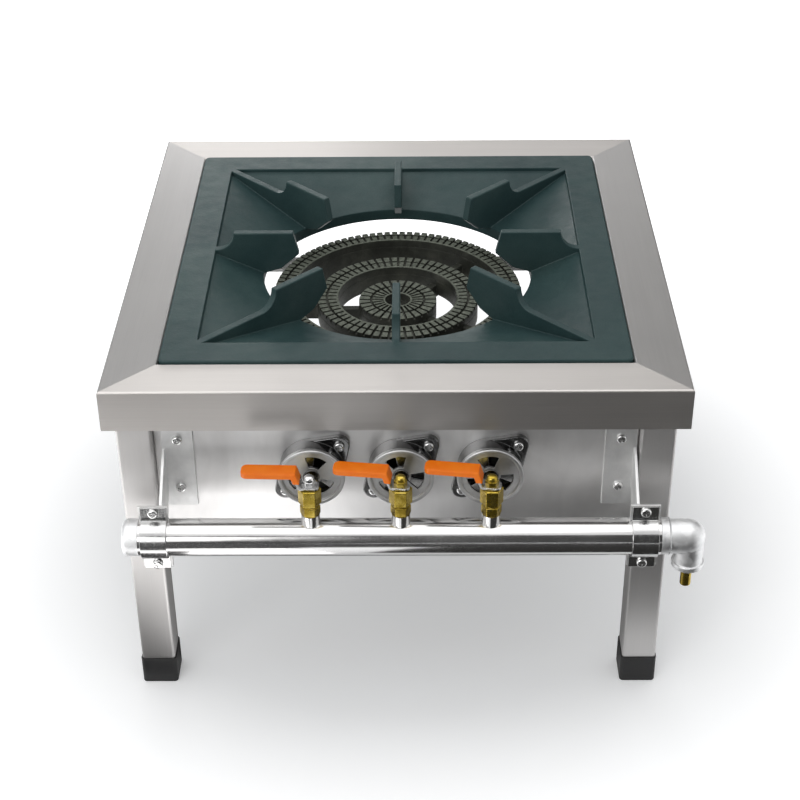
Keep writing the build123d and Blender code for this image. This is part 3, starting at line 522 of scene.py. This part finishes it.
# %% Orange vinyl and black rubber
def dipped_vinyl(name):
    material, tree, shader = start_finish(name, 0.0, 0.34)
    cloud = noise(tree, place(tree), 90.0, 3.0, 0.5)
    skin = noise(tree, place(tree), 600.0, 2.0, 0.5)
    colour = ramp(tree, cloud, (0.3, (0.92, 0.165, 0.0)), (0.7, (0.97, 0.225, 0.002)))
    feed(tree, shader, base_color=colour, roughness=spread(tree, cloud, 0.28, 0.42),
         normal=bump(tree, skin, 0.08, 0.0004))
    shader.inputs["Specular IOR Level"].default_value = 0.3
    shader.inputs["Coat Weight"].default_value = 0.08
    shader.inputs["Coat Roughness"].default_value = 0.2
    return material


def black_rubber(name):
    material, tree, shader = start_finish(name, 0.0, 0.7)
    dust = noise(tree, place(tree), 60.0, 5.0, 0.65)
    skin = noise(tree, place(tree), 900.0, 2.0, 0.5)
    colour = ramp(tree, dust, (0.35, (0.010, 0.010, 0.011)), (0.75, (0.028, 0.027, 0.026)))
    feed(tree, shader, base_color=colour, roughness=spread(tree, dust, 0.55, 0.8),
         normal=bump(tree, skin, 0.15, 0.0004))
    return material


vinyl = dipped_vinyl("grip_orange_vinyl")
rubber = black_rubber("foot_black_rubber")
print("brass, zinc, vinyl and rubber ready")

# %% [markdown]
# ## Edges
# No real edge is perfectly sharp: castings come out of the sand round, sheared sheet is deburred and turned
# brass is chamfered. A thin bevel catches a line of light there. The CAD meshes are left alone. Each piece that
# needs an edge gets a merged copy of its mesh, its sharp edges are bevelled, and the copy stands for the CAD
# node. The other pieces only get a material.


# %% Bevelled copies
def eased(node, width_mm, material, segments=2, sharper_than=32):
    bm = bmesh.new()
    bm.from_mesh(frame["nodes"][node].data)
    bmesh.ops.remove_doubles(bm, verts=bm.verts, dist=5e-6)
    bmesh.ops.dissolve_limit(bm, angle_limit=radians(0.05), verts=bm.verts, edges=bm.edges)
    sharp = [e for e in bm.edges if len(e.link_faces) == 2 and e.calc_face_angle() > radians(sharper_than)]
    bmesh.ops.bevel(bm, geom=sharp, offset=width_mm / 1000, offset_type="OFFSET", affect="EDGES",
                    segments=segments, profile=0.5, material=-1, clamp_overlap=False)
    for face in bm.faces:
        face.smooth = True
    mesh = bpy.data.meshes.new(node + "_finished")
    bm.to_mesh(mesh)
    bm.free()
    mesh.set_sharp_from_angle(angle=radians(38))
    mesh.materials.append(material)
    piece = bpy.data.objects.new(node + "_finished", mesh)
    bpy.context.scene.collection.objects.link(piece)
    flat = piece.modifiers.new("flat_faces_stay_flat", "WEIGHTED_NORMAL")
    flat.keep_sharp = True
    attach(piece, body_of_node[node])
    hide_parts(node)
    return piece


def dress(node, material):
    mesh = frame["nodes"][node].data
    mesh.materials.clear()
    mesh.materials.append(material)


grate = eased("pot_grate", 0.9, grate_iron, 3)
for ring, iron in ring_irons.items():
    eased(ring, 0.35, iron, 2)
eased("burner_casting", 0.7, channel_iron, 2)
print("castings eased, grate faces", len(grate.data.polygons))

# %% Sheet metal, legs and feet
dress("front_rail", steel_x)
dress("rear_rail", steel_x)
dress("left_rail", steel_y)
dress("right_rail", steel_y)
dress("front_panel", panel_steel)
for corner in ("front_left", "front_right", "rear_left", "rear_right"):
    dress(corner + "_leg", steel_z)
    eased(corner + "_foot", 0.6, rubber, 3)
for end in ("front", "rear"):
    dress(end + "_burner_strap", strap_steel)
for side in ("left", "right"):
    eased(side + "_pipe_bracket", 0.4, bracket_steel)
    eased(side + "_pipe_clamp", 0.4, clamp_steel)
dress("panel_screws", bright_steel)
dress("clamp_screws", bright_steel)
print("sheet metal dressed")

# %% Gas train and air inlets
nut_metals = {"left": bright_steel, "middle": brass, "right": brass}
dress("manifold_pipe", pipe_steel)
eased("manifold_cap", 0.5, zinc)
eased("manifold_elbow", 1.0, zinc, 3)
eased("hose_nipple", 0.3, brass)
for side, nut_metal in nut_metals.items():
    eased(side + "_air_housing", 0.5, housing_alloy_painted_shade)
    eased(side + "_air_shutter", 0.3, shutter_aluminium)
    eased(side + "_valve_body", 0.35, brass)
    dress(side + "_valve_ball", bright_steel)
    dress(side + "_valve_stem", brass)
    dress(side + "_injector", painted_shade_brass)
    eased(side + "_valve_lever", 0.3, lever_steel)
    eased(side + "_lever_nut", 0.25, nut_metal)
    grip = eased(side + "_lever_grip", 0.8, vinyl, 3)
    grip.visible_glossy = False  # the photograph shows no orange in the steel
print("gas train dressed")


# %% Domed caps on the lever nuts
def nut_cap(side, material, corners=12):
    node = side + "_lever_nut"
    low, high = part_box(node)
    middle = [(low[0] + high[0]) / 2, (low[1] + high[1]) / 2]
    bm = bmesh.new()
    rings_mm = [(4.6, -0.4), (4.6, 2.4), (3.9, 3.6), (2.4, 4.4)]  # radius, and height over the nut's top
    step = 2 * pi / corners
    loops = []
    for radius, height in rings_mm:
        loops.append([bm.verts.new((middle[0] + radius / 1000 * cos(i * step),
                                    middle[1] + radius / 1000 * sin(i * step), high[2] + height / 1000))
                      for i in range(corners)])
    for lower, upper in zip(loops, loops[1:]):
        for i in range(corners):
            j = (i + 1) % corners
            bm.faces.new((lower[i], lower[j], upper[j], upper[i]))
    bm.faces.new(loops[-1])
    bm.faces.new(loops[0][::-1])
    for face in bm.faces:
        face.smooth = True
    mesh = bpy.data.meshes.new(node + "_cap")
    bm.to_mesh(mesh)
    bm.free()
    mesh.set_sharp_from_angle(angle=radians(40))
    mesh.materials.append(material)
    cap = bpy.data.objects.new(node + "_cap", mesh)
    bpy.context.scene.collection.objects.link(cap)
    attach(cap, body_of_node[node])


for side, nut_metal in nut_metals.items():
    nut_cap(side, nut_metal)
print("nut caps added")
